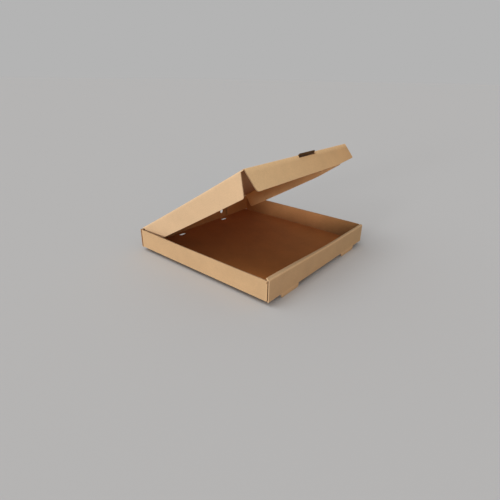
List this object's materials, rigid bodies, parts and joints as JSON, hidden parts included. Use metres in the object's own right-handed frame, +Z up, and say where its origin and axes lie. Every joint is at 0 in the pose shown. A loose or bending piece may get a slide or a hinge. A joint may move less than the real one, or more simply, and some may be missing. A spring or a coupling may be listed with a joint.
{
  "type": "pizza box",
  "caption": "Shallow square corrugated board box with a hinged lid part open, tucked side flaps, a hanging front flap, rolled front rim and small feet.",
  "frame": {"origin": "on the table under the middle of the box, in the plane of the feet's lower ends", "axes": "+X to the box's right seen from the front, +Y from the front wall to the rear wall with the lid's hinge crease, +Z up"},
  "size_m": [0.3, 0.3, 0.1916],
  "materials": {
    "tray_board": "matt brown kraft liner, uncoated",
    "lid_board": "matt brown kraft liner, uncoated"
  },
  "bodies": {
    "tray": {"tray": "tray_board"},
    "lid": {"lid": "lid_board"},
    "lid_front_flap": {"lid_front_flap": "lid_board"}
  },
  "joints": [
    {"name": "lid_hinge", "type": "hinge", "parent": "tray", "child": "lid", "pos_m": [0, 0.1492, 0.0421], "axis": [-1, 0, 0], "range_deg": [-30.9, 149.1]},
    {"name": "front_flap_hinge", "type": "hinge", "parent": "lid", "child": "lid_front_flap", "pos_m": [0, -0.09638, 0.18908], "axis": [-1, 0, 0], "range_deg": [-26, 84]}
  ]
}
